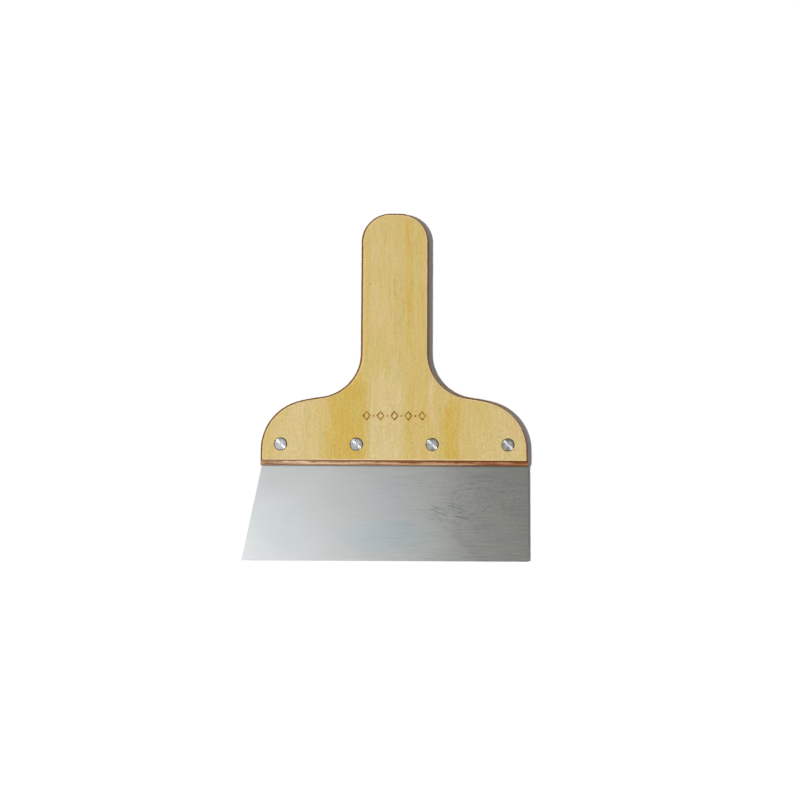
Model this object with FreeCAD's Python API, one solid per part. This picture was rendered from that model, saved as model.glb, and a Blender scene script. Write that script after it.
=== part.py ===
"""Drywall taping knife: a thin steel blade let into a saw kerf in a plywood handle, and held by four rivets.

The knife lies on its back face. +Z is up, through its thickness. +Y runs from the working edge to the end of
the grip, and +X across the blade, towards its straight side. The origin is the middle of its footprint, on
the surface that it lies on. The blade is one-sided: its right side runs straight on from the handle's, and
its left side flares. All sizes are in millimetres, and each solid goes to parts/NODE.step.
"""

import FreeCAD
import Part
import math
import os

V = FreeCAD.Vector
Z_AXIS = V(0, 0, 1)

# Overall sizes
OVERALL_LENGTH = 185.0  # working edge to the end of the grip
BLADE_REACH = 50.0  # blade standing out of the handle
EDGE_WIDTH = 150.0  # blade along its working edge
ROOT_WIDTH = 140.0  # blade, where it enters the handle
FOOT_WIDTH = 140.6  # handle, where the blade enters it

# Handle outline, from the end of the grip down to the foot
GRIP_WIDTH = 36.0
GRIP_CORNER_RADIUS = 15.5
GRIP_RUN = 60.0  # straight side of the grip
NECK_RADIUS = 23.5
NECK_TURN = 81.5  # degrees, from the grip's side to the shoulder's slope
CREST_RADIUS = 57.0  # eases the slope into the shoulder
CREST_TURN = 8.6
SHOULDER_RADIUS = 26.5  # turns the rest of the way, to square with the foot

# Handle section
PLIES = (  # from the back face to the front face, with each one's thickness
    ("rear_face_veneer", 0.5),
    ("rear_crossband", 2.7),
    ("core_ply", 2.6),
    ("front_crossband", 2.7),
    ("front_face_veneer", 0.5),
)
ROUNDOVER = 2.2  # on both faces, all along the outline but the foot
FOOT_BEVEL = 3.1  # 45 degrees, on both faces, along the foot
KERF_WIDTH = 0.8
KERF_DEPTH = 20.5

# Blade
BLADE_THICKNESS = 0.7
TANG_DEPTH = 20.0  # blade inside the handle
TANG_STEP = 4.0  # the tang stands back from the blade's straight side by this
BLADE_CORNER_RADIUS = 0.3
GRIND_WIDTH = 0.6  # ground bevel along the working edge, on both faces
GRIND_DEPTH = 0.2

# Rivets: a post with a solid shank, pressed into a barrel with a hollow one
RIVET_COUNT = 4
RIVET_PITCH = 39.8
RIVET_HEIGHT = 10.9  # above the foot
RIVET_HOLE_RADIUS = 2.2
HEAD_RADIUS = 3.25
HEAD_THICKNESS = 1.1
HEAD_EDGE_RADIUS = 0.4
SEAT_RADIUS = 3.5  # counterbore that the head sits in
SEAT_DEPTH = 1.15
BARREL_RADIUS = 2.1
BARREL_LENGTH = 6.2  # from under its head
POST_RADIUS = 1.5
POST_LENGTH = 5.6
LEAD_IN = 0.25  # chamfer on the shanks' ends

# Burnt-in decoration on the front face: open lozenges in a row, with a dot between each pair
MARK_HEIGHT = 26.0  # above the foot
MARK_COUNT = 5
MARK_PITCH = 7.3
LOZENGE_HALF_WIDTH = 2.2
LOZENGE_HALF_HEIGHT = 2.65
MARK_STROKE = 0.65
DOT_RADIUS = 0.5
MARK_DEPTH = 0.2

# Places worked out from the sizes
THICKNESS = sum(size for _, size in PLIES)
MID_Z = THICKNESS / 2
RIGHT_X = EDGE_WIDTH / 2
AXIS_X = RIGHT_X - FOOT_WIDTH / 2  # the handle's middle line
EDGE_Y = -OVERALL_LENGTH / 2
FOOT_Y = EDGE_Y + BLADE_REACH
TOP_Y = OVERALL_LENGTH / 2
RIVET_Y = FOOT_Y + RIVET_HEIGHT
MARK_Y = FOOT_Y + MARK_HEIGHT
CLEAR = 5.0  # how far cutting tools run past what they cut
TOLERANCE = 1e-5  # for telling edges apart by where they lie


class Pen:
    """Draws a flat outline of straight runs and arcs, each tangent to the last, as edges at one height."""

    def __init__(self, x, y, heading):
        self.at = V(x, y, 0)
        self.heading = math.radians(heading)
        self.edges = []

    def forward(self):
        return V(math.cos(self.heading), math.sin(self.heading), 0)

    def left(self):
        return V(-math.sin(self.heading), math.cos(self.heading), 0)

    def run(self, length):
        end = self.at + self.forward() * length
        self.edges.append(Part.LineSegment(self.at, end).toShape())
        self.at = end

    def arc(self, radius, turn):
        """Turns left by turn degrees, or right where turn is negative."""
        side = math.copysign(radius, turn)
        centre = self.at + self.left() * side
        start = self.at
        self.heading += math.radians(turn) / 2
        middle = centre - self.left() * side
        self.heading += math.radians(turn) / 2
        self.at = centre - self.left() * side
        self.edges.append(Part.Arc(start, middle, self.at).toShape())

    def corner(self, turn):
        self.heading += math.radians(turn)

    def face(self):
        return Part.Face(Part.Wire(Part.__sortEdges__(self.edges)))


def sin_deg(angle):
    return math.sin(math.radians(angle))


def cos_deg(angle):
    return math.cos(math.radians(angle))


def box(low, high):
    """A solid block between two corners."""
    size = [b - a for a, b in zip(low, high)]
    return Part.makeBox(*size, V(*low))


def prism(points, direction):
    """A flat polygon pushed along a direction."""
    return Part.Face(Part.makePolygon([*points, points[0]])).extrude(direction)


def rod(radius, low_z, high_z, x, y):
    return Part.makeCylinder(radius, high_z - low_z, V(x, y, low_z), Z_AXIS)


def lies_at(edge, z):
    """Whether the whole edge is at one height."""
    return max(abs(edge.BoundBox.ZMin - z), abs(edge.BoundBox.ZMax - z)) < TOLERANCE


def handle_side():
    """The outline's steps down one side of the handle, from the grip's flat end to the foot."""
    slope = 90 - NECK_TURN  # the shoulder's slope below square
    crest_end = slope + CREST_TURN
    reach = (
        GRIP_WIDTH / 2
        + NECK_RADIUS * (1 - cos_deg(NECK_TURN))
        + CREST_RADIUS * (sin_deg(crest_end) - sin_deg(slope))
        + SHOULDER_RADIUS * (1 - sin_deg(crest_end))
    )
    slope_run = (FOOT_WIDTH / 2 - reach) / cos_deg(slope)
    drop = (
        GRIP_CORNER_RADIUS
        + GRIP_RUN
        + NECK_RADIUS * sin_deg(NECK_TURN)
        + slope_run * sin_deg(slope)
        + CREST_RADIUS * (cos_deg(slope) - cos_deg(crest_end))
        + SHOULDER_RADIUS * cos_deg(crest_end)
    )
    side_run = TOP_Y - FOOT_Y - drop
    return [
        ("arc", GRIP_CORNER_RADIUS, -90),
        ("run", GRIP_RUN),
        ("arc", NECK_RADIUS, NECK_TURN),
        ("run", slope_run),
        ("arc", CREST_RADIUS, -CREST_TURN),
        ("arc", SHOULDER_RADIUS, crest_end - 90),
        ("run", side_run),
    ]


def handle_outline():
    flat_end = GRIP_WIDTH - 2 * GRIP_CORNER_RADIUS
    side = handle_side()
    pen = Pen(AXIS_X - flat_end / 2, TOP_Y, 0)
    pen.run(flat_end)
    for kind, *sizes in side:
        getattr(pen, kind)(*sizes)
    pen.corner(-90)
    pen.run(FOOT_WIDTH)
    pen.corner(-90)
    for kind, *sizes in reversed(side):
        getattr(pen, kind)(*sizes)
    return pen.face()


def handle_blank():
    """The whole handle as one piece of board: shaped, rounded over and bevelled, with no kerf or holes."""
    blank = handle_outline().extrude(Z_AXIS * THICKNESS)
    rims = [edge for edge in blank.Edges if lies_at(edge, 0) or lies_at(edge, THICKNESS)]
    rims = [edge for edge in rims if edge.BoundBox.YMax > FOOT_Y + TOLERANCE]
    blank = blank.makeFillet(ROUNDOVER, rims)
    across = V(FOOT_WIDTH + 2 * CLEAR, 0, 0)
    for face_z, inward in ((0, 1), (THICKNESS, -1)):
        x = AXIS_X - FOOT_WIDTH / 2 - CLEAR
        past = FOOT_BEVEL + CLEAR
        corner = V(x, FOOT_Y - CLEAR, face_z - inward * CLEAR)
        up_the_face = V(x, FOOT_Y + past, face_z - inward * CLEAR)
        down_the_foot = V(x, FOOT_Y - CLEAR, face_z + inward * past)
        blank = blank.cut(prism([corner, up_the_face, down_the_foot], across))
    return blank


def rivet_places():
    first = AXIS_X - RIVET_PITCH * (RIVET_COUNT - 1) / 2
    return [(first + RIVET_PITCH * i, RIVET_Y) for i in range(RIVET_COUNT)]


def rivet_holes():
    """A hole right through the handle and blade at each rivet, with a counterbore at each face."""
    tools = []
    for x, y in rivet_places():
        tools.append(rod(RIVET_HOLE_RADIUS, -CLEAR, THICKNESS + CLEAR, x, y))
        tools.append(rod(SEAT_RADIUS, -CLEAR, SEAT_DEPTH, x, y))
        tools.append(
            rod(SEAT_RADIUS, THICKNESS - SEAT_DEPTH, THICKNESS + CLEAR, x, y)
        )
    return tools


def kerf():
    """The saw cut that the blade sits in, open at the foot and at both sides."""
    half = FOOT_WIDTH / 2 + CLEAR
    return box(
        (AXIS_X - half, FOOT_Y - CLEAR, MID_Z - KERF_WIDTH / 2),
        (AXIS_X + half, FOOT_Y + KERF_DEPTH, MID_Z + KERF_WIDTH / 2),
    )


def lozenge(x, grow, low_z):
    """A lozenge-shaped block about the mark's line, grown or shrunk by grow on every side."""
    slant = math.hypot(LOZENGE_HALF_WIDTH, LOZENGE_HALF_HEIGHT)
    half_width = LOZENGE_HALF_WIDTH + grow * slant / LOZENGE_HALF_HEIGHT
    half_height = LOZENGE_HALF_HEIGHT + grow * slant / LOZENGE_HALF_WIDTH
    points = [
        V(x - half_width, MARK_Y, low_z),
        V(x, MARK_Y - half_height, low_z),
        V(x + half_width, MARK_Y, low_z),
        V(x, MARK_Y + half_height, low_z),
    ]
    return prism(points, Z_AXIS * CLEAR)


def marks():
    """Cutting tools for the burnt-in decoration."""
    floor = THICKNESS - MARK_DEPTH
    first = AXIS_X - MARK_PITCH * (MARK_COUNT - 1) / 2
    tools = []
    for i in range(MARK_COUNT):
        x = first + MARK_PITCH * i
        outer = lozenge(x, 0, floor)
        inner = lozenge(x, -MARK_STROKE, floor - CLEAR / 2)
        tools.append(outer.cut(inner))
        if i:
            tools.append(
                rod(DOT_RADIUS, floor, THICKNESS + CLEAR, x - MARK_PITCH / 2, MARK_Y)
            )
    return tools


def handle_plies():
    """The board sliced into its plies, drilled for the rivets, with the kerf and the mark cut in."""
    blank = handle_blank()
    holes = rivet_holes()
    plies = {}
    low_z = 0.0
    for name, size in PLIES:
        slab = box(
            (-EDGE_WIDTH, -OVERALL_LENGTH, low_z),
            (EDGE_WIDTH, OVERALL_LENGTH, low_z + size),
        )
        plies[name] = blank.common(slab).cut(holes)
        low_z += size
    plies["core_ply"] = plies["core_ply"].cut(kerf())
    plies["front_face_veneer"] = plies["front_face_veneer"].cut(marks())
    return plies


def blade():
    """The blade with its tang, ground on both faces along the working edge."""
    low_z = MID_Z - BLADE_THICKNESS / 2
    tang_y = FOOT_Y + TANG_DEPTH
    flare = (EDGE_WIDTH - ROOT_WIDTH) / BLADE_REACH  # left side, per mm of length
    tang_left_x = RIGHT_X - ROOT_WIDTH + flare * TANG_DEPTH
    points = [
        V(-EDGE_WIDTH / 2, EDGE_Y, low_z),
        V(RIGHT_X, EDGE_Y, low_z),
        V(RIGHT_X, FOOT_Y, low_z),
        V(RIGHT_X - TANG_STEP, FOOT_Y, low_z),
        V(RIGHT_X - TANG_STEP, tang_y, low_z),
        V(tang_left_x, tang_y, low_z),
    ]
    plate = prism(points, Z_AXIS * BLADE_THICKNESS)
    upright = [edge for edge in plate.Edges if edge.BoundBox.ZLength > TOLERANCE]
    corners = [edge for edge in upright if edge.BoundBox.YMax < EDGE_Y + TOLERANCE]
    plate = plate.makeFillet(BLADE_CORNER_RADIUS, corners)
    across = V(EDGE_WIDTH + 2 * CLEAR, 0, 0)
    for face_z, inward in ((low_z, 1), (low_z + BLADE_THICKNESS, -1)):
        x = -EDGE_WIDTH / 2 - CLEAR
        wedge = [
            V(x, EDGE_Y, face_z),
            V(x, EDGE_Y + GRIND_WIDTH, face_z),
            V(x, EDGE_Y, face_z + inward * GRIND_DEPTH),
        ]
        plate = plate.cut(prism(wedge, across))
    return plate.cut([rod(RIVET_HOLE_RADIUS, 0, THICKNESS, x, y) for x, y in rivet_places()])


def head(x, y, under_z, up):
    """A rivet's head, seated at under_z and facing up (1) or down (-1), with its rim rounded off."""
    disc = Part.makeCylinder(HEAD_RADIUS, HEAD_THICKNESS, V(x, y, under_z), Z_AXIS * up)
    face_z = under_z + up * HEAD_THICKNESS
    rim = [edge for edge in disc.Edges if lies_at(edge, face_z)]
    return disc.makeFillet(HEAD_EDGE_RADIUS, rim)


def pointed_rod(radius, length, x, y, base_z, up):
    """A shank that stands on base_z, with a chamfer on its free end."""
    plain = Part.makeCylinder(radius, length - LEAD_IN, V(x, y, base_z), Z_AXIS * up)
    tip_z = base_z + up * (length - LEAD_IN)
    tip = Part.makeCone(radius, radius - LEAD_IN, LEAD_IN, V(x, y, tip_z), Z_AXIS * up)
    return plain.fuse(tip)


def rivet_post(x, y):
    """Front half: a head with a solid shank."""
    under_z = THICKNESS - SEAT_DEPTH
    shank = pointed_rod(POST_RADIUS, POST_LENGTH, x, y, under_z, -1)
    return head(x, y, under_z, 1).fuse(shank).removeSplitter()


def rivet_barrel(x, y):
    """Rear half: a head with a hollow shank that grips the post."""
    tube = pointed_rod(BARREL_RADIUS, BARREL_LENGTH, x, y, SEAT_DEPTH, 1)
    bore = rod(POST_RADIUS, SEAT_DEPTH, SEAT_DEPTH + BARREL_LENGTH + CLEAR, x, y)
    return head(x, y, SEAT_DEPTH, -1).fuse(tube).removeSplitter().cut(bore)


def build():
    nodes = {"blade": blade(), **handle_plies()}
    for i, (x, y) in enumerate(rivet_places(), 1):
        nodes[f"rivet_post_{i}"] = rivet_post(x, y)
        nodes[f"rivet_barrel_{i}"] = rivet_barrel(x, y)
    return nodes


os.makedirs("parts", exist_ok=True)
for node, shape in build().items():
    solids = shape.Solids
    if len(solids) != 1 or not shape.isValid():
        raise SystemExit(f"{node} is not one valid solid: {len(solids)} solids")
    solids[0].exportStep(f"parts/{node}.step")
    print(f"{node}: {solids[0].Volume:.1f} mm3")
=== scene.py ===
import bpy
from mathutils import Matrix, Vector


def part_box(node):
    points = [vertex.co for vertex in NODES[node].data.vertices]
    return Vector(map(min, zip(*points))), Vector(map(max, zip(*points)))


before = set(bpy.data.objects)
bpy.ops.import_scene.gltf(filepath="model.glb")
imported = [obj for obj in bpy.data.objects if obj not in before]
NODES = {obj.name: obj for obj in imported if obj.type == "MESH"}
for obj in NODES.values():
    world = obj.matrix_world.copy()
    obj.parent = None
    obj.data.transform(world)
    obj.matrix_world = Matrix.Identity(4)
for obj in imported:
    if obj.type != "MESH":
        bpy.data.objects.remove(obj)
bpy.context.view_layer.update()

import math

import bpy
from mathutils import Matrix, Vector

MM = 0.001
RIVETS = range(1, 5)  # numbered from the left


# ---------------------------------------------------------------- node trees

class Field:
    """A value that varies over a surface: a node's output, with arithmetic that adds more nodes."""

    def __init__(self, tree, socket):
        self.tree = tree
        self.socket = socket

    def __add__(self, other):
        return self.tree.math("ADD", self, other)

    def __sub__(self, other):
        return self.tree.math("SUBTRACT", self, other)

    def __rsub__(self, other):
        return self.tree.math("SUBTRACT", other, self)

    def __mul__(self, other):
        return self.tree.math("MULTIPLY", self, other)

    def __truediv__(self, other):
        return self.tree.math("DIVIDE", self, other)

    def __abs__(self):
        return self.tree.math("ABSOLUTE", self)

    def __pow__(self, other):
        return self.tree.math("POWER", self, other)

    __radd__ = __add__
    __rmul__ = __mul__


class Tree:
    """Writes a node tree. A value may be a number, a tuple or a Field."""

    def __init__(self, nodes, links):
        self.nodes = nodes
        self.links = links

    def node(self, kind, **settings):
        made = self.nodes.new(kind)
        for name, value in settings.items():
            setattr(made, name, value)
        return made

    def feed(self, socket, value):
        if isinstance(value, Field):
            self.links.new(value.socket, socket)
        elif isinstance(value, tuple) and len(value) == 3 and len(socket.default_value) == 4:
            socket.default_value = (*value, 1.0)
        else:
            socket.default_value = value

    def out(self, made, name=0):
        return Field(self, made.outputs[name])

    def math(self, operation, *values):
        made = self.node("ShaderNodeMath", operation=operation)
        for socket, value in zip(made.inputs, values):
            self.feed(socket, value)
        return self.out(made)

    def most(self, a, b):
        return self.math("MAXIMUM", a, b)

    def least(self, a, b):
        return self.math("MINIMUM", a, b)

    def length(self, x, y):
        return self.math("SQRT", x ** 2.0 + y ** 2.0)

    def point(self, x, y, z=0.0):
        made = self.node("ShaderNodeCombineXYZ")
        for socket, value in zip(made.inputs, (x, y, z)):
            self.feed(socket, value)
        return self.out(made)

    def split(self, vector):
        made = self.node("ShaderNodeSeparateXYZ")
        self.feed(made.inputs[0], vector)
        return [self.out(made, i) for i in range(3)]

    def smooth(self, value, low, high):
        """0 up to low, 1 from high, and a smooth step between. It falls instead where low is above high."""
        made = self.node("ShaderNodeMapRange", interpolation_type="SMOOTHSTEP")
        rising = low < high
        self.feed(made.inputs["Value"], value)
        self.feed(made.inputs["From Min"], low if rising else high)
        self.feed(made.inputs["From Max"], high if rising else low)
        self.feed(made.inputs["To Min"], 0.0 if rising else 1.0)
        self.feed(made.inputs["To Max"], 1.0 if rising else 0.0)
        return self.out(made)

    def span(self, value, low, high):
        """Carries 0 to 1 over to low to high."""
        return value * (high - low) + low

    def mix(self, a, b, amount):
        made = self.node("ShaderNodeMix", data_type="RGBA", clamp_factor=True)
        self.feed(made.inputs["Factor"], amount)
        self.feed(made.inputs[6], a)
        self.feed(made.inputs[7], b)
        return self.out(made, 2)

    def scale(self, colour, amount):
        """A colour made lighter or darker."""
        made = self.node("ShaderNodeVectorMath", operation="SCALE")
        self.feed(made.inputs[0], colour)
        self.feed(made.inputs["Scale"], amount)
        return self.out(made)

    def noise(self, x, y, z=0.0, detail=2.0, roughness=0.5):
        """Noise from about 0 to 1, with a mean of 0.5. Its grain is one unit of x, y and z."""
        made = self.node("ShaderNodeTexNoise", noise_dimensions="3D")
        self.feed(made.inputs["Vector"], self.point(x, y, z))
        made.inputs["Scale"].default_value = 1.0
        made.inputs["Detail"].default_value = detail
        made.inputs["Roughness"].default_value = roughness
        return self.out(made)

    def swing(self, x, y, z=0.0, **settings):
        """The same noise, drawn out to run from about -1 to 1."""
        return (self.noise(x, y, z, **settings) - 0.5) * 3.4


class Surface(Tree):
    """A material round one Principled shader, with x, y and z in millimetres and the normal's parts."""

    def __init__(self, name):
        self.material = bpy.data.materials.new(name)
        self.material.use_nodes = True
        tree = self.material.node_tree
        super().__init__(tree.nodes, tree.links)
        self.shader = self.nodes["Principled BSDF"]
        coords = self.node("ShaderNodeTexCoord")
        x, y, z = self.split(self.out(coords, "Object"))
        self.x, self.y, self.z = x / MM, y / MM, z / MM
        self.nx, self.ny, self.nz = self.split(self.out(coords, "Normal"))

    def set(self, **values):
        for name, value in values.items():
            self.feed(self.shader.inputs[name.replace("_", " ")], value)

    def bump(self, height, strength, distance_mm):
        made = self.node("ShaderNodeBump")
        made.inputs["Strength"].default_value = strength
        made.inputs["Distance"].default_value = distance_mm * MM
        self.feed(made.inputs["Height"], height)
        return self.out(made)


# How bright a level white surface shows under the studio's light, and what its gloss adds.
LIGHT_LEVEL = 1.2
HAZE = 0.018


def linear(value):
    """The linear value of a screen value from 0 to 255."""
    part = value / 255
    return part / 12.92 if part <= 0.04045 else ((part + 0.055) / 1.055) ** 2.4


def srgb(red, green, blue):
    """The linear colour of a level surface that shows as these screen values under the studio's light."""
    return tuple((linear(value) - HAZE) / LIGHT_LEVEL for value in (red, green, blue))


# ---------------------------------------------------------------- sizes, in millimetres

foot_low, foot_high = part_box("core_ply")
BOARD_LEFT, BOARD_RIGHT = foot_low.x / MM, foot_high.x / MM
AXIS_X = (BOARD_LEFT + BOARD_RIGHT) / 2
FOOT_Y = foot_low.y / MM
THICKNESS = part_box("front_face_veneer")[1].z / MM
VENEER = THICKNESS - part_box("front_face_veneer")[0].z / MM
CORE_HALF = foot_high.z / MM - THICKNESS / 2
BLADE_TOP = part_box("blade")[1].z / MM
FOOT_BEVEL = 3.1
FOOT_LIP = THICKNESS / 2 - FOOT_BEVEL  # half of the flat that the bevels leave
MARK_HEIGHT = 26.0  # above the foot
MARK_Y = FOOT_Y + MARK_HEIGHT
MARK_COUNT = 5
MARK_PITCH = 7.3
MARK_END = MARK_COUNT * MARK_PITCH / 2  # from the board's axis
LOZENGE_HALF_WIDTH = 2.2
LOZENGE_HALF_HEIGHT = 2.65
STROKE_MIDDLE = 0.81  # as a part of the lozenge's half size


# ---------------------------------------------------------------- veneer

WOOD = srgb(213, 187, 121)
WOOD_BEIGE = srgb(219, 198, 148)
WOOD_GOLD = srgb(209, 175, 86)
WOOD_PINK = srgb(221, 190, 140)
WOOD_OLIVE = srgb(205, 188, 116)
WOOD_DARK = srgb(188, 152, 84)
WOOD_LIGHT = srgb(229, 209, 160)
WOOD_PORE = srgb(164, 126, 66)
WOOD_SANDED_AND_LIT = srgb(240, 208, 160)
WOOD_END = srgb(168, 140, 96)
WOOD_BEVEL = srgb(246, 216, 170)
RIM = srgb(104, 84, 52)
RIM_PAINTED_LIGHT = srgb(196, 172, 122)
KNOT = srgb(110, 80, 40)
SCORCH = srgb(196, 152, 66)
BURNT = srgb(168, 126, 44)
BURNT_DARK = srgb(82, 52, 10)

# Strips of colour along the grain. Each is its middle from the board's axis, its half width,
# its low and high ends, how soft its edges are, and how strong it is. They fade in and out at their ends.
STRIP_FADE = 9.0
GOLD_FRONT = (
    (-34.0, 8.5, -60.0, 4.0, 0.8, 0.8),
    (-24.0, 12.0, -60.0, 6.0, 0.55, 1.2),
    (-15.5, 2.6, -6.0, 60.0, 0.6, 0.5),
    (7.8, 3.2, 14.0, 90.0, 0.6, 0.75),
    (12.5, 10.0, -60.0, 30.0, 0.5, 0.4),
    (13.5, 3.0, 0.0, 90.0, 0.6, 0.5),
    (24.0, 5.0, -18.0, -4.0, 0.6, 0.5),
    (30.0, 8.8, -60.0, -8.0, 0.85, 1.15),
    (47.0, 3.0, -24.0, -16.0, 0.6, 0.6),
)
BEIGE_FRONT = (
    (-50.0, 17.0, -60.0, 0.0, 0.5, 0.6),
    (-11.6, 1.4, -60.0, 2.0, 0.6, 1.1),
    (-6.5, 9.0, 12.0, 95.0, 0.5, 0.35),
    (-3.0, 10.0, -60.0, 8.0, 0.3, 0.7),
    (-0.5, 3.0, 0.0, 14.0, 0.6, 1.0),
    (2.0, 3.0, -60.0, -32.0, 0.6, 1.1),
    (16.5, 2.0, 38.0, 72.0, 0.6, 0.5),
    (19.0, 1.8, -12.0, 6.0, 0.6, 1.1),
    (56.0, 15.0, -60.0, 0.0, 0.6, 0.5),
)
GOLD_BACK = (
    (-42.0, 8.0, -60.0, 0.0, 0.6, 0.8),
    (-6.5, 5.0, -30.0, 80.0, 0.6, 0.7),
    (27.0, 9.0, -60.0, 10.0, 0.5, 1.0),
)
BEIGE_BACK = (
    (-57.0, 9.0, -60.0, 0.0, 0.6, 1.0),
    (7.0, 7.0, -60.0, 60.0, 0.5, 1.0),
)


def strips(s, x, wanted):
    """How strongly the wanted strips of colour show, from 0 up."""
    made = 0.0
    for middle, half, low_y, high_y, soft, strength in wanted:
        across = s.smooth(abs(x - AXIS_X - middle), half, half * (1.0 - soft))
        above = s.smooth(s.y, low_y - STRIP_FADE, low_y + STRIP_FADE)
        below = s.smooth(s.y, high_y + STRIP_FADE, high_y - STRIP_FADE)
        made = s.most(made, across * (above * below) * strength)
    return made


def nested_ovals(s, x, y, across_mm, along_mm, ragged, rate):
    """A small figure of ovals one inside another, and rate sets how close they are."""
    out = s.length((s.x - x) / across_mm, (s.y - y) / along_mm) + ragged
    return s.smooth(s.math("SINE", out * rate), 0.1, 0.95) * s.smooth(out, 1.0, 0.55)


def growth_figure(s):
    """Faint nested ovals up the middle of the grip."""
    ragged = (s.noise(s.x * 0.4, s.y * 0.16, 13.0, detail=3.0) - 0.5) * 0.8
    top = nested_ovals(s, AXIS_X + 1.4, 53.0, 3.6, 11.0, ragged, 14.0)
    middle = nested_ovals(s, AXIS_X + 1.6, 38.0, 4.4, 13.0, ragged, 20.0)
    foot = nested_ovals(s, AXIS_X - 1.0, 5.0, 6.0, 30.0, ragged, 15.0) * 0.5
    return s.most(s.most(top, middle), foot)


def marks_on_grip(s, colour, fleck):
    """A pin knot at the grip's left edge, and a faint paler line across its right half."""
    knot = s.length(s.x - AXIS_X + 13.5, (s.y - 54.0) * 0.8)
    colour = s.mix(colour, WOOD_PORE, s.smooth(knot, 0.7, 0.2) * 0.3)
    colour = s.mix(colour, KNOT, s.smooth(knot, 0.35, 0.1) * 0.35)
    pale_line = s.smooth(abs(s.y - 37.6), 0.5, 0.15) * s.smooth(abs(s.x - AXIS_X - 1.5), 5.0, 2.5)
    return s.mix(colour, WOOD_LIGHT, pale_line * s.smooth(fleck, -0.5, 0.4) * 0.4)


def veneer_edges(s, colour, front, side):
    """Paler on the rounded edges (sanded, and paler still where they face right and up, which is painted
    light) and the foot's bevel, with duller end grain and a glue line.
    """
    lean = s.smooth(s.nz if front else s.nz * -1.0, 0.998, 0.93)
    # paler where sanded, and paler still where the rounded edge faces right and up, which is painted light
    sanded_and_lit = s.smooth(s.noise(s.x * 0.1, s.y * 0.1, side + 17.0) + s.nx * 0.4 + s.ny * 0.15, 0.35, 0.65)
    colour = s.mix(colour, WOOD_SANDED_AND_LIT, lean * s.span(sanded_and_lit, 0.25, 0.95))
    fuzz = s.noise(s.x * 3.0, s.y * 3.0, s.z * 2.0)
    colour = s.mix(colour, WOOD_END, s.smooth(abs(s.ny), 0.35, 0.9) * s.smooth(fuzz, 0.35, 0.7) * 0.3)
    bevel = s.smooth(s.ny, -0.5, -0.6)
    colour = s.mix(colour, WOOD_BEVEL, bevel)
    # the glue line follows the seam with the next ply, and is paler to the right and at the top, which is
    # painted light
    height = s.z - (THICKNESS - VENEER) if front else VENEER - s.z
    uneven = s.noise(s.x * 0.5, s.y * 0.5, s.z * 0.5 + 7.0, detail=3.0, roughness=0.65) - 0.5
    rim = s.mix(RIM, RIM_PAINTED_LIGHT, s.smooth((s.nx + s.ny) * 0.6 + uneven * 0.5, 0.45, 0.85))
    return s.mix(colour, rim, s.smooth(height - uneven * 0.3 + bevel * 0.16, 0.24, 0.07) * 0.85)


def mark_scorch(s):
    """How scorched the wood is round the decoration: 1 in the cut, fading out a little way beyond it."""
    along = (s.x - AXIS_X) / MARK_PITCH + MARK_COUNT / 2
    within = abs((along - s.math("FLOOR", along) - 0.5) * MARK_PITCH)
    from_axis = abs(s.x - AXIS_X)
    down = abs(s.y - MARK_Y)
    ragged = s.noise(s.x * 2.2, s.y * 2.2, 3.0) - 0.5
    size = within / LOZENGE_HALF_WIDTH + down / LOZENGE_HALF_HEIGHT
    ring = abs(size - STROKE_MIDDLE) + ragged * 0.3
    lozenges = s.smooth(ring, 0.34, 0.14) * s.smooth(from_axis, MARK_END + 0.1, MARK_END - 0.1)
    # the dots lie halfway between the lozenges, with none beyond the last
    near = s.length(MARK_PITCH / 2 - within, down) + ragged * 0.5
    dots = s.smooth(near, 0.95, 0.45) * s.smooth(from_axis, MARK_PITCH * 2.2, MARK_PITCH * 2.1)
    return s.most(lozenges, dots)


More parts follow.
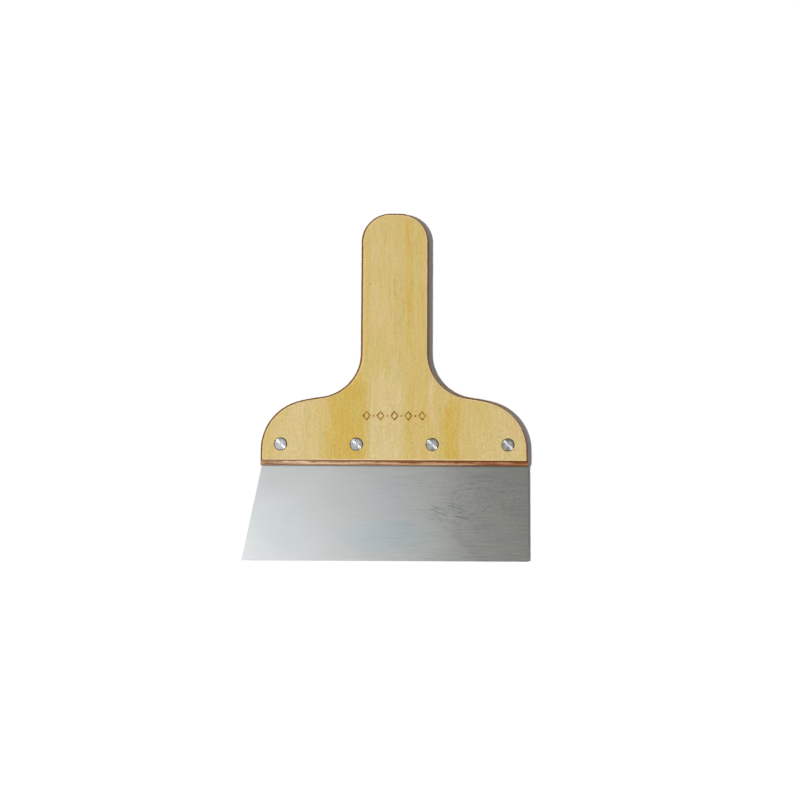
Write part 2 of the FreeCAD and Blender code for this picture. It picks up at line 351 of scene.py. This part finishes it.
def veneer_material(name, front):
    """Pale rotary-cut face veneer with its grain along Y. The front one has the burnt-in decoration."""
    s = Surface(name)
    side = 0.0 if front else 40.0  # moves the noise, so that the faces differ
    sway = (s.noise(s.x * 0.03, s.y * 0.013, side) - 0.5) * 12.0
    x = s.x + sway

    def grain(across, along, seed, **settings):
        """Noise drawn out along the grain. The first two numbers are its features per millimetre."""
        return s.swing(x * across, s.y * along, side + seed, **settings)

    broad = grain(0.075, 0.012, 1.0, roughness=0.55)
    mottle = grain(0.17, 0.055, 3.0, detail=3.0, roughness=0.55)
    hue = grain(0.21, 0.045, 5.0, detail=3.0, roughness=0.55)
    streak = grain(0.8, 0.03, 7.0, detail=3.0, roughness=0.6)
    fibre = grain(1.25, 0.1, 9.0, detail=3.0, roughness=0.7)
    fleck = grain(1.5, 0.6, 10.0, roughness=0.7)
    pore = s.noise(x * 4.2, s.y * 0.42, side + 11.0, detail=1.0)
    strip_x = s.x + sway * 0.25
    gold = strips(s, strip_x, GOLD_FRONT if front else GOLD_BACK)
    beige = strips(s, strip_x, BEIGE_FRONT if front else BEIGE_BACK)
    warm = gold * 0.75 - beige * 0.75 + broad * 0.16 + mottle * 0.26
    colour = s.mix(WOOD, WOOD_GOLD, s.smooth(warm, 0.0, 0.95))
    colour = s.mix(colour, WOOD_BEIGE, s.smooth(warm, 0.0, -0.95))
    colour = s.mix(colour, WOOD_PINK, s.smooth(hue, 0.15, 0.95) * 0.6)
    colour = s.mix(colour, WOOD_OLIVE, s.smooth(hue, 0.1, -0.8) * 0.65)
    colour = s.mix(colour, WOOD_DARK, s.smooth(streak, 0.1, 1.1) * 0.34)
    colour = s.mix(colour, WOOD_LIGHT, s.smooth(streak, -0.1, -1.1) * 0.36)
    # coarser towards the foot
    coarse = s.span(s.smooth(s.y, 0.0, -25.0), 0.12, 0.18)
    colour = s.scale(colour, 1.0 + fibre * 0.13 + fleck * coarse)
    colour = s.mix(colour, WOOD_PORE, s.smooth(pore, 0.66, 0.76) * 0.34)
    if front:
        figure = growth_figure(s) * s.smooth(fleck + streak * 0.6, -0.5, 0.5)
        colour = s.mix(colour, WOOD_PORE, figure * 0.34)
        colour = marks_on_grip(s, colour, fleck)
    colour = veneer_edges(s, colour, front, side)
    rough = s.span(streak, 0.5, 0.55)
    height = streak * 0.2 + fibre * 0.3 - pore * 0.5
    if front:
        # the decoration's cuts: below the face, but not where the board's edges fall away
        cut = s.smooth(s.z, THICKNESS - 0.03, THICKNESS - 0.12) * s.smooth(abs(s.y - MARK_Y), 4.4, 4.2)
        cut = cut * s.smooth(abs(s.x - AXIS_X), MARK_END + 0.75, MARK_END + 0.55)
        char = s.noise(s.x * 0.65, s.y * 0.65, 2.0, detail=4.0, roughness=0.7)
        colour = s.mix(colour, SCORCH, mark_scorch(s) * 0.6)
        burnt = s.mix(BURNT, BURNT_DARK, s.smooth(char, 0.46, 0.6))
        colour = s.mix(colour, burnt, cut * s.span(s.smooth(char, 0.36, 0.56), 0.4, 1.0))
        rough = rough + cut * 0.2
        height = height + char * cut
    s.set(Base_Color=colour, Roughness=rough, Normal=s.bump(height, 0.3, 0.04))
    s.shader.inputs["Specular IOR Level"].default_value = 0.3
    return s.material


# ---------------------------------------------------------------- inner plies

PLY_PEACH = srgb(240, 202, 162)
PLY_PALE = srgb(250, 222, 188)
PLY_RED = srgb(184, 120, 82)
PLY_DARK = srgb(122, 72, 42)
PLY_AGED = srgb(132, 114, 80)
PLY_END = srgb(112, 90, 60)
PLY_VESSEL = srgb(72, 46, 30)
PLY_SEAM = srgb(124, 76, 34)
GLUE_LINE = srgb(100, 70, 42)
PLY_LIP_SHADE = srgb(96, 70, 50)


def ply_grain(s, along, across, grain_x, redder_and_shaded_right, seed):
    """The ply's colour where the cut runs with its grain, and the height of its hairs and streaks."""
    wave = (s.noise(along * 0.05, across * 0.2, seed, detail=3.0) - 0.5) * 2.6
    level = s.z + wave

    def grain(fine, length, shift):
        z = level * fine + shift + seed
        return s.noise(along * length, across * fine, z, detail=3.0, roughness=0.6) - 0.5

    streak = grain(0.9, 0.022, 0.0) * 4.4
    hair = grain(2.6, 0.1, 5.0) * 3.4
    patch = grain(0.12, 0.035, 9.0) * 3.4
    body = s.mix(PLY_PEACH, PLY_RED, s.smooth(patch * 0.4 + redder_and_shaded_right, 0.1, 1.15))
    body = s.mix(body, PLY_PALE, s.smooth(streak, 0.0, -0.8) * 0.65)
    body = s.mix(body, PLY_DARK, s.smooth(streak, 0.05, 0.8) * 0.8)
    body = s.mix(body, PLY_DARK, s.smooth(hair, 0.1, 0.8) * 0.6)
    if grain_x:
        body = s.mix(body, PLY_AGED, s.smooth(s.ny, -0.3, 0.1) * 0.85)
    else:
        body = s.mix(body, PLY_RED, 0.45)
    return body, streak, hair


def ply_seams(s, colour, outer, redder_and_shaded_right, middle, ragged, seed):
    """Glue-darkened wood at both faces of the ply, uneven along its length and darker to the right with
    painted shade, with the glue line itself.
    """
    uneven = s.noise(s.x * 0.1, s.y * 0.1, s.z * 0.2 + seed, detail=3.0, roughness=0.6)
    width = s.span(s.smooth(uneven, 0.35, 0.65), 0.6, 1.35) + redder_and_shaded_right * 0.3
    width = width * s.span(s.smooth(abs(s.ny), 0.5, 0.6), 0.35, 1.0)
    seam = s.smooth(outer - middle - width + ragged * 0.6, 0.2, -0.2)
    colour = s.mix(colour, PLY_SEAM, seam * s.span(redder_and_shaded_right, 0.72, 0.95))
    gap = s.least(outer - middle, abs(middle - CORE_HALF))
    return s.mix(colour, GLUE_LINE, s.smooth(gap + ragged * 0.1, 0.16, 0.05) * 0.9)


def ply_material(name, grain_x, seed):
    """Reddish inner ply, redder to the right and darker there with painted shade. Its grain runs along X or
    Y.
    """
    s = Surface(name)
    along, across, normal_along = (s.x, s.y, s.nx) if grain_x else (s.y, s.x, s.ny)
    outer = max(abs(corner.z / MM - THICKNESS / 2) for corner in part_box(name))
    middle = abs(s.z - THICKNESS / 2)  # how far a point is from the board's middle
    redder_and_shaded_right = s.smooth(s.x, BOARD_LEFT, BOARD_RIGHT)
    ragged = s.noise(s.x * 0.8, s.y * 0.8, seed + 5.0) - 0.5
    body, streak, hair = ply_grain(s, along, across, grain_x, redder_and_shaded_right, seed)
    # end grain: open vessels as dots, in faint layers
    spots = s.noise(across * 2.6, s.z * 2.6, along * 0.3 + seed, roughness=0.6)
    layers = s.noise(across * 0.25, s.z * 1.8, along * 0.15 + seed, detail=3.0)
    cut = s.mix(PLY_END, PLY_RED, s.smooth(layers, 0.4, 0.65) * 0.7)
    cut = s.mix(cut, PLY_VESSEL, s.smooth(spots, 0.5, 0.66) * 0.8)
    end = s.smooth(abs(normal_along), 0.3, 0.85)
    colour = s.mix(body, cut, end)
    colour = ply_seams(s, colour, outer, redder_and_shaded_right, middle, ragged, seed)
    # painted light: paler where the rounded front edge turns right and up
    turned = s.smooth((s.nx + s.ny) * 0.6 + ragged * 0.3, 0.5, 0.8) * s.smooth(s.nz, 0.05, 0.35)
    colour = s.mix(colour, RIM_PAINTED_LIGHT, turned * 0.75)
    if grain_x:
        # painted shade along the sharp lip of the foot, next to the blade
        lip = s.smooth(middle + ragged * 0.3, FOOT_LIP + 0.75, FOOT_LIP + 0.3)
        colour = s.mix(colour, PLY_LIP_SHADE, s.smooth(abs(s.ny), 0.5, 0.6) * lip * 0.6)
    rough = s.span(s.smooth(hair, -1.0, 1.0), 0.6, 0.75)
    height = streak * 0.2 + hair * 0.3 + spots * end
    s.set(Base_Color=colour, Roughness=rough, Normal=s.bump(height, 0.5, 0.1))
    s.shader.inputs["Specular IOR Level"].default_value = 0.25
    return s.material


# ---------------------------------------------------------------- metal

STEEL = (0.575, 0.58, 0.58)
STEEL_WORN = (0.575, 0.575, 0.545)
FILM_TEAL = (0.50, 0.578, 0.613)
FILM_PINK = (0.60, 0.57, 0.61)
STEEL_JOINT_SHADE = (0.16, 0.11, 0.07)
STEEL_CUT = (0.30, 0.30, 0.30)
RIVET = (0.595, 0.595, 0.65)
RIVET_DULL = (0.30, 0.285, 0.25)
RIVET_SHADE = (0.19, 0.17, 0.15)
RIVET_TARNISH = (0.5, 0.65, 0.8, 0.95)  # from the left


def spot(s, cloud, x, y, half_x, half_y, lean=0.0):
    """An oval with a soft, cloudy edge, 1 in its middle."""
    along, across = (s.x - x) / half_x, (s.y - y + (s.x - x) * lean) / half_y
    return s.smooth(s.length(along, across) + cloud * 0.3, 1.15, 0.25)


def smudge_arcs(s, cloud, tooth):
    """A fingerprint-like smudge: broken, uneven arcs round one place."""
    radius = s.length((s.x - 45.0) * 0.85, s.y + 59.0) + cloud * 3.0 + tooth * 0.5
    broken = s.smooth(s.noise(s.x * 0.22, s.y * 0.4, 19.0, detail=3.0), 0.49, 0.62)
    return s.smooth(s.math("SINE", radius * 2.4), 0.1, 1.0) * s.smooth(abs(radius - 7.0), 3.6, 1.0) * broken


def oil_film(s, base, cloud, front):
    """Teal and pinkish spots, on the front mostly."""
    teal = s.most(spot(s, cloud, 1.0, -79.0, 29.0, 12.0), spot(s, cloud, 2.0, -61.0, 15.0, 14.0) * 0.6)
    teal = s.most(teal, spot(s, cloud, -56.0, -74.0, 20.0, 18.0) * 0.35)
    pink = s.most(spot(s, cloud, -35.0, -80.0, 7.0, 11.0), spot(s, cloud, 16.5, -74.0, 6.0, 4.0))
    faint = s.most(spot(s, cloud, -8.0, -66.0, 7.0, 6.0), spot(s, cloud, 3.0, -61.0, 12.0, 14.0))
    pink = s.most(pink, faint * 0.7)
    base = s.mix(base, FILM_TEAL, teal * s.span(front, 0.25, 0.7))
    return s.mix(base, FILM_PINK, pink * front * 0.5)


def steel_material(name):
    """Cold-rolled blade steel, brushed along X and more worn to the right, where it is also darker with
    painted shade, with a scuffed patch there.
    """
    s = Surface(name)
    long_lines = s.swing(s.x * 0.012, s.y * 0.7, 1.0, detail=3.0, roughness=0.6)
    fine_lines = s.swing(s.x * 0.05, s.y * 1.6, 4.0, detail=3.0, roughness=0.7)
    cloud = s.swing(s.x * 0.06, s.y * 0.09, 7.0, detail=3.0)
    tooth = s.swing(s.x * 0.6, s.y * 1.5, 9.0, detail=3.0, roughness=0.7)
    wear = s.smooth(s.x, -45.0, 50.0)
    worn_and_shaded = s.smooth(s.x, 20.0, 52.0)
    front = s.smooth(s.nz, -0.5, 0.5)
    # short scuffs that slope down to the right, thick in one patch and thin over the worn side
    patch = spot(s, cloud, 34.0, -69.5, 19.0, 9.5, lean=0.3) * front
    thin = spot(s, cloud, 48.0, -62.0, 36.0, 22.0) * s.span(front, 0.4, 1.0)
    falling = s.noise(s.x * 0.13, (s.y + s.x * 0.28) * 0.95, 11.0)
    rising = s.noise(s.x * 0.3, (s.y - s.x * 0.16) * 1.1, 13.0, roughness=0.6)
    nicks = s.smooth(falling, 0.5, 0.66) * s.span(patch, 0.1, 1.2) * thin
    nicks = s.most(nicks, s.smooth(rising, 0.54, 0.72) * thin * 0.6)
    stray = s.smooth(s.noise(s.x * 0.07, (s.y + s.x * 0.03) * 1.3, 17.0, detail=1.0), 0.66, 0.74) * wear
    arcs = smudge_arcs(s, cloud, tooth) * front
    # darker to the right, partly with wear and partly with painted shade
    shade = s.span(worn_and_shaded, 1.02, 0.85) + long_lines * s.span(wear, 0.018, 0.024) + cloud * 0.03
    shade = shade + fine_lines * s.span(wear, 0.03, 0.17) + tooth * (s.span(wear, 0.0, 0.1) + patch * 0.06)
    shade = shade - nicks * 0.34 - stray * 0.2 - arcs * 0.22
    # painted shade: darker in the corner under the handle on the left
    shade = shade - s.smooth(s.y, -72.0, -44.0) * s.smooth(s.x, -30.0, -62.0) * 0.075
    # a darker band that slopes across the worn side
    beyond = s.x + s.y + 44.0 + cloud * 1.5 + tooth * 0.5
    sloped_band = s.smooth(beyond, -0.4, 0.8) * s.smooth(beyond, 12.0, 1.0) * s.smooth(s.y, -71.0, -80.0)
    shade = shade - sloped_band * front * 0.07
    base = s.mix(STEEL, STEEL_WORN, worn_and_shaded * s.span(s.smooth(cloud, -0.5, 0.5), 0.45, 1.0))
    base = s.scale(oil_film(s, base, cloud, front), shade)
    # painted shade where the blade meets the handle, cut sides, and a duller ground edge
    ragged = (s.noise(s.x * 0.25, 0.0, 31.0) - 0.5) * 0.5
    base = s.mix(base, STEEL_JOINT_SHADE, s.smooth(s.y + ragged, FOOT_Y - 0.75, FOOT_Y - 0.25) * 0.55)
    base = s.mix(base, STEEL_CUT, s.smooth(s.nz, 0.95, 0.8) * 0.7)
    ground = s.smooth(s.z, BLADE_TOP - 0.02, BLADE_TOP - 0.05) * s.smooth(s.nz, 0.5, 0.8)
    base = s.scale(base, 1.0 - ground * 0.3)
    rough = 0.3 + fine_lines * 0.03 + nicks * 0.1 + arcs * 0.05
    height = fine_lines * 0.25 + long_lines * 0.12 - nicks * 0.6
    s.set(Base_Color=base, Roughness=rough, Normal=s.bump(height, 0.08, 0.02))
    s.set(Tangent=s.point(0.0, 1.0, 0.0), Metallic=1.0, Anisotropic=0.75)
    return s.material


def rivet_material(name, x_mm, y_mm, tarnish):
    """Turned metal: tool marks in rings round the rivet's own axis, which stretch its glints outwards."""
    s = Surface(name)
    dx, dy = s.x - x_mm, s.y - y_mm
    radius = s.math("SQRT", dx ** 2.0 + dy ** 2.0 + 0.0001)  # never 0, because it divides
    rings = s.swing(radius * 2.4, x_mm * 0.3, 2.0, detail=3.0, roughness=0.7)
    grime = s.swing(s.x * 0.7, s.y * 0.7, 5.0, detail=3.0, roughness=0.6)
    base = s.mix(RIVET, RIVET_DULL, s.smooth(radius + grime * 0.7, -0.6, 3.3) * tarnish)
    base = s.mix(base, RIVET_DULL, s.smooth(grime, -0.1, 0.7) * 0.3)
    # painted shade near the rim, on one side
    side_shade = s.smooth(radius + grime * 0.5, 1.7, 2.7) * s.smooth(dx + dy + grime * 0.4, 0.6, 3.0)
    base = s.mix(base, RIVET_SHADE, side_shade * 0.5)
    base = s.mix(base, RIVET_DULL, s.smooth(rings, 0.0, 1.0) * 0.3)
    base = s.mix(base, RIVET_DULL, s.smooth(radius + grime * 0.2, 2.7, 3.2) * 0.3)
    rough = 0.36 + rings * 0.04
    s.set(Base_Color=base, Roughness=rough, Normal=s.bump(rings * 0.3, 0.25, 0.04))
    s.set(Tangent=s.point(dx / radius, dy / radius), Metallic=1.0, Anisotropic=0.85)
    return s.material


def dress(node, material):
    mesh = NODES[node].data
    mesh.materials.clear()
    mesh.materials.append(material)


def dress_all():
    dress("blade", steel_material("blade_steel"))
    dress("front_face_veneer", veneer_material("face_veneer_front", True))
    dress("rear_face_veneer", veneer_material("face_veneer_back", False))
    dress("rear_crossband", ply_material("rear_crossband", True, 21.0))
    dress("core_ply", ply_material("core_ply", False, 28.0))
    dress("front_crossband", ply_material("front_crossband", True, 35.0))
    for i, tarnish in zip(RIVETS, RIVET_TARNISH):
        low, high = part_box(f"rivet_post_{i}")
        middle = (low + high) / 2 / MM
        turned = rivet_material(f"rivet_metal_{i}", middle.x, middle.y, tarnish)
        dress(f"rivet_post_{i}", turned)
        dress(f"rivet_barrel_{i}", turned)


# ---------------------------------------------------------------- studio, in metres

FLOOR_HALF = 20.0
FLOOR_Z = -0.0001  # just under the knife, so that the two don't share a face
KEY_PLACE = Vector((-0.92, -0.36, 3.0))
KEY_WIDTH = 0.13
KEY_POWER = 93.5  # watts
HORIZON = 0.74  # brightness, like the others below
CEILING = 0.27
CARD_HALF = 1.8
CARD_Z = 1.65
CARD_BRIGHT = 2.38
CARD_DIM = 0.28
CARD_LEFT = -0.42  # bright up to here
CARD_RIGHT = 0.15  # dim from here
CARD_COOL = (0.97, 1.0, 1.035)
CARD_WARM = (0.99, 1.0, 0.925)
WINDOW_HALF = 0.3
WINDOW_Z = 1.6
WINDOWS = (("window_left", -1.0, 1.15, 30.0), ("window_right", 1.0, -0.85, 26.0))  # x, y, strength
CAMERA_ELEVATION = 82.66  # degrees
CAMERA_ROLL = 0.28
CAMERA_DISTANCE = 1.0
CAMERA_AIM = Vector((0.00757, -0.00754, 0.0045))
VIEW_WIDTH = 0.423057
SENSOR_MM = 36.0


def square(name, x, y, half, z):
    """A level square of the set, which isn't part of the knife."""
    mesh = bpy.data.meshes.new(name)
    corners = [(x - half, y - half), (x + half, y - half), (x + half, y + half), (x - half, y + half)]
    mesh.from_pydata([(*corner, z) for corner in corners], [], [(0, 1, 2, 3)])
    made = bpy.data.objects.new(name, mesh)
    bpy.context.scene.collection.objects.link(made)
    return made


def floor():
    """White paper, which brightens into the backdrop far away."""
    s = Surface("floor_paper")
    tooth = s.noise(s.x * 0.8, s.y * 0.8, detail=3.0)
    far = s.smooth(s.length(s.x, s.y), 700.0, 3000.0)
    s.set(Base_Color=s.mix((0.90, 0.90, 0.90), (0.93, 0.93, 0.925), tooth), Roughness=0.9)
    s.set(Emission_Color=(1.0, 1.0, 1.0), Emission_Strength=far * 0.8)
    s.shader.inputs["Specular IOR Level"].default_value = 0.0
    square("floor", 0.0, 0.0, FLOOR_HALF, FLOOR_Z).data.materials.append(s.material)


def key_light():
    data = bpy.data.lights.new("key", "AREA")
    data.shape = "DISK"
    data.size = KEY_WIDTH
    data.energy = KEY_POWER
    made = bpy.data.objects.new("key", data)
    made.location = KEY_PLACE
    made.rotation_euler = (-KEY_PLACE).to_track_quat("-Z", "Y").to_euler()
    made.visible_glossy = False
    bpy.context.scene.collection.objects.link(made)


def glow_card(name, x, y, half, z):
    """A square of light that only reflections see. Gives it, its node tree and its emission node."""
    made = square(name, x, y, half, z)
    made.visible_camera = False
    made.visible_diffuse = False
    made.visible_shadow = False
    material = bpy.data.materials.new(name)
    material.use_nodes = True
    made.data.materials.append(material)
    s = Tree(material.node_tree.nodes, material.node_tree.links)
    s.nodes.clear()
    glow = s.node("ShaderNodeEmission")
    s.links.new(glow.outputs[0], s.node("ShaderNodeOutputMaterial").inputs["Surface"])
    return made, s, glow


def reflectors():
    """A wide card, bright on the left and dim on the right, and two windows that light only the rivets."""
    _, s, glow = glow_card("reflector_card", 0.0, 0.0, CARD_HALF, CARD_Z)
    x, y, _ = s.split(s.out(s.node("ShaderNodeTexCoord"), "Object"))
    across = s.smooth(x + s.most(y, -0.1) * 1.2, CARD_LEFT, CARD_RIGHT)
    s.feed(glow.inputs["Color"], s.mix(CARD_COOL, CARD_WARM, across))
    s.feed(glow.inputs["Strength"], s.span(across, CARD_BRIGHT, CARD_DIM))
    heads = bpy.data.collections.new("rivets")
    for i in RIVETS:
        heads.objects.link(NODES[f"rivet_post_{i}"])
    for name, x, y, strength in WINDOWS:
        window, _, glow = glow_card(name, x, y, WINDOW_HALF, WINDOW_Z)
        glow.inputs["Strength"].default_value = strength
        window.light_linking.receiver_collection = heads


def surroundings():
    """A pale horizon all round, brightest where it meets the floor, and a dimmer ceiling."""
    world = bpy.data.worlds.new("studio")
    world.use_nodes = True
    bpy.context.scene.world = world
    s = Tree(world.node_tree.nodes, world.node_tree.links)
    _, _, up = s.split(s.out(s.node("ShaderNodeTexCoord"), "Generated"))
    strength = s.span(s.smooth(up, 0.02, 0.25), HORIZON, CEILING) + s.smooth(up, 0.03, 0.01) * 0.25
    back = s.nodes["Background"]
    back.inputs["Color"].default_value = (1.0, 1.0, 1.0, 1.0)
    s.feed(back.inputs["Strength"], strength)


def camera():
    """Looks almost straight down, from the blade's end, with the knife just left of and above the middle."""
    elevation, roll = math.radians(CAMERA_ELEVATION), math.radians(CAMERA_ROLL)
    back = Vector((0, -math.cos(elevation), math.sin(elevation)))
    up = Vector((0, math.sin(elevation), math.cos(elevation)))
    right = Vector((1, 0, 0))
    x_axis = right * math.cos(roll) + up * math.sin(roll)
    y_axis = up * math.cos(roll) - right * math.sin(roll)
    turned = Matrix((x_axis, y_axis, back)).transposed()
    data = bpy.data.cameras.new("camera")
    data.sensor_width = SENSOR_MM
    data.lens = SENSOR_MM * CAMERA_DISTANCE / VIEW_WIDTH
    made = bpy.data.objects.new("camera", data)
    made.matrix_world = Matrix.Translation(CAMERA_AIM + back * CAMERA_DISTANCE) @ turned.to_4x4()
    bpy.context.scene.collection.objects.link(made)
    bpy.context.scene.camera = made


dress_all()
floor()
key_light()
reflectors()
surroundings()
camera()
bpy.context.scene.view_settings.view_transform = "Standard"
